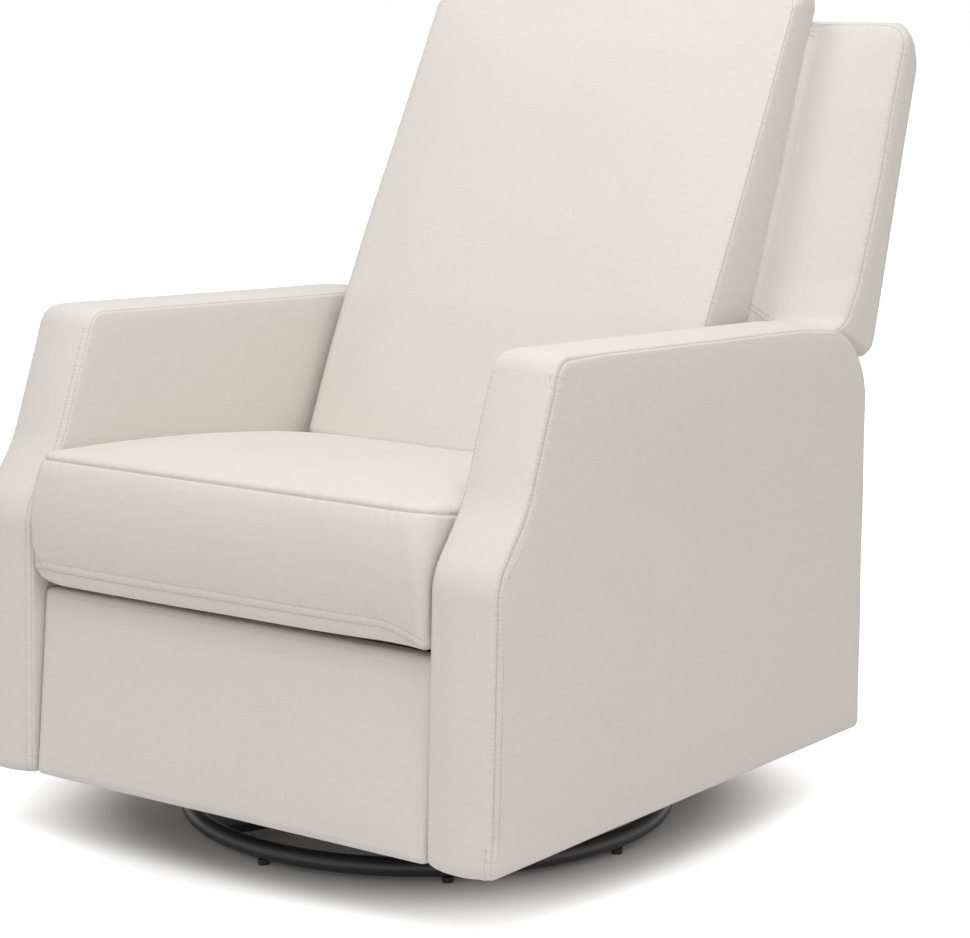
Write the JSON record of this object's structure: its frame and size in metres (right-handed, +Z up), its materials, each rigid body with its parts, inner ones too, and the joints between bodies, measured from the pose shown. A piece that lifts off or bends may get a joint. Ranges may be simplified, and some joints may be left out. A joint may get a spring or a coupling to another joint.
{
  "type": "swivel glider recliner chair",
  "caption": "Upholstered nursery chair that swivels on a round floor ring, glides on four hanging links, and has a folding leg rest and a reclining winged back.",
  "frame": {"origin": "on the floor, in the middle of the chair's width and depth at rest", "axes": "+X to the sitter's left, -Y the way the sitter faces, +Z up"},
  "size_m": [0.762, 0.9649, 1.016],
  "materials": {
    "upholstery": "cream plain-weave upholstery",
    "frame_wood": "unfinished plywood and hardwood",
    "base_steel": "satin black powder coat",
    "mechanism_steel": "black electrophoretic paint",
    "bright_steel": "zinc plated",
    "glide_plastic": "black nylon",
    "spring_steel": "oiled spring wire",
    "webbing": "woven elastic"
  },
  "bodies": {
    "floor_base": {"base_ring": "base_steel", "floor_glides": "glide_plastic", "base_cross_arms": "base_steel", "swivel_lower_race": "mechanism_steel", "swivel_balls": "bright_steel", "swivel_ball_cage": "glide_plastic", "swivel_king_bolt": "bright_steel"},
    "turntable": {"swivel_upper_race": "mechanism_steel", "turntable_straps": "mechanism_steel", "turntable_cross_rails": "mechanism_steel", "glide_posts_left": "mechanism_steel", "glide_posts_right": "mechanism_steel", "glide_upper_pins": "bright_steel"},
    "link_front_left": {"glide_link_front_left": "mechanism_steel"},
    "link_front_right": {"glide_link_front_right": "mechanism_steel"},
    "link_rear_left": {"glide_link_rear_left": "mechanism_steel"},
    "link_rear_right": {"glide_link_rear_right": "mechanism_steel"},
    "carriage": {"side_plate_left": "mechanism_steel", "side_plate_right": "mechanism_steel", "glide_lower_pins": "bright_steel", "mechanism_cross_tube": "mechanism_steel", "idler_pivot_pins": "bright_steel", "recline_pivot_pins": "bright_steel", "seat_rail_angles": "mechanism_steel", "seat_side_rail_left": "frame_wood", "seat_side_rail_right": "frame_wood", "seat_front_rail": "frame_wood", "seat_rear_rail": "frame_wood", "seat_springs": "spring_steel", "seat_spring_clips": "spring_steel", "seat_cushion": "upholstery", "arm_frame_left": "frame_wood", "arm_frame_right": "frame_wood", "arm_cover_left": "upholstery", "arm_cover_right": "upholstery", "arm_bolts": "bright_steel", "rear_panel_board": "frame_wood", "rear_panel_cover": "upholstery"},
    "leg_drive": {"leg_drive_tube": "mechanism_steel", "leg_crank_left": "mechanism_steel", "leg_crank_right": "mechanism_steel", "leg_crank_pins": "bright_steel"},
    "idler_left": {"leg_idler_left": "mechanism_steel"},
    "idler_right": {"leg_idler_right": "mechanism_steel"},
    "carrier_left": {"leg_carrier_left": "mechanism_steel"},
    "carrier_right": {"leg_carrier_right": "mechanism_steel"},
    "upper_link_left": {"leg_upper_link_left": "mechanism_steel"},
    "upper_link_right": {"leg_upper_link_right": "mechanism_steel"},
    "footrest": {"footrest_cushion": "upholstery", "footrest_board": "frame_wood", "footrest_brackets": "mechanism_steel", "footrest_pins": "bright_steel"},
    "backrest": {"back_cushion": "upholstery", "back_cover": "upholstery", "back_frame": "frame_wood", "back_webbing": "webbing", "recline_brackets": "mechanism_steel"}
  },
  "joints": [
    {"name": "base_swivel", "type": "hinge", "parent": "floor_base", "child": "turntable", "pos_m": [0, -0.1005, 0.024], "axis": [0, 0, 1], "continuous": true},
    {"name": "glide_front_left", "type": "hinge", "parent": "turntable", "child": "link_front_left", "pos_m": [0.205, -0.2105, 0.185], "axis": [1, 0, 0], "range_deg": [-28, 28]},
    {"name": "glide_front_right", "type": "hinge", "parent": "turntable", "child": "link_front_right", "pos_m": [-0.205, -0.2105, 0.185], "axis": [1, 0, 0], "range_deg": [-28, 28]},
    {"name": "glide_rear_left", "type": "hinge", "parent": "turntable", "child": "link_rear_left", "pos_m": [0.205, 0.0095, 0.185], "axis": [1, 0, 0], "range_deg": [-28, 28]},
    {"name": "glide_rear_right", "type": "hinge", "parent": "turntable", "child": "link_rear_right", "pos_m": [-0.205, 0.0095, 0.185], "axis": [1, 0, 0], "range_deg": [-28, 28]},
    {"name": "glide", "type": "hinge", "parent": "link_rear_left", "child": "carriage", "pos_m": [0.205, 0.0095, 0.09], "axis": [1, 0, 0], "range_deg": [-28, 28]},
    {"name": "leg_rest", "type": "hinge", "parent": "carriage", "child": "leg_drive", "pos_m": [0, -0.2725, 0.265], "axis": [-1, 0, 0], "range_deg": [0, 93]},
    {"name": "idler_left", "type": "hinge", "parent": "carriage", "child": "idler_left", "pos_m": [0.219, -0.3225, 0.28], "axis": [-1, 0, 0], "range_deg": [0, 93]},
    {"name": "carrier_left", "type": "hinge", "parent": "leg_drive", "child": "carrier_left", "pos_m": [0.226, -0.20854, 0.08928], "axis": [1, 0, 0], "range_deg": [0, 93]},
    {"name": "upper_link_left", "type": "hinge", "parent": "leg_drive", "child": "upper_link_left", "pos_m": [0.226, -0.22735, 0.14096], "axis": [1, 0, 0], "range_deg": [0, 93]},
    {"name": "idler_right", "type": "hinge", "parent": "carriage", "child": "idler_right", "pos_m": [-0.219, -0.3225, 0.28], "axis": [-1, 0, 0], "range_deg": [0, 93]},
    {"name": "carrier_right", "type": "hinge", "parent": "leg_drive", "child": "carrier_right", "pos_m": [-0.226, -0.20854, 0.08928], "axis": [1, 0, 0], "range_deg": [0, 93]},
    {"name": "upper_link_right", "type": "hinge", "parent": "leg_drive", "child": "upper_link_right", "pos_m": [-0.226, -0.22735, 0.14096], "axis": [1, 0, 0], "range_deg": [0, 93]},
    {"name": "footrest_tilt", "type": "hinge", "parent": "carrier_left", "child": "footrest", "pos_m": [0.233, -0.37054, 0.23998], "axis": [-1, 0, 0], "range_deg": [0, 93]},
    {"name": "recline", "type": "hinge", "parent": "carriage", "child": "backrest", "pos_m": [0, 0.0925, 0.29], "axis": [-1, 0, 0], "range_deg": [0, 28]}
  ],
  "couplings": [
    {"joint": "glide_front_left", "follows": "glide", "ratio": -1},
    {"joint": "glide_front_right", "follows": "glide", "ratio": -1},
    {"joint": "glide_rear_left", "follows": "glide", "ratio": -1},
    {"joint": "glide_rear_right", "follows": "glide", "ratio": -1},
    {"joint": "idler_left", "follows": "leg_rest", "ratio": 1},
    {"joint": "idler_right", "follows": "leg_rest", "ratio": 1},
    {"joint": "carrier_left", "follows": "leg_rest", "ratio": 1},
    {"joint": "carrier_right", "follows": "leg_rest", "ratio": 1},
    {"joint": "upper_link_left", "follows": "leg_rest", "ratio": 1},
    {"joint": "upper_link_right", "follows": "leg_rest", "ratio": 1},
    {"joint": "footrest_tilt", "follows": "leg_rest", "ratio": 1}
  ]
}
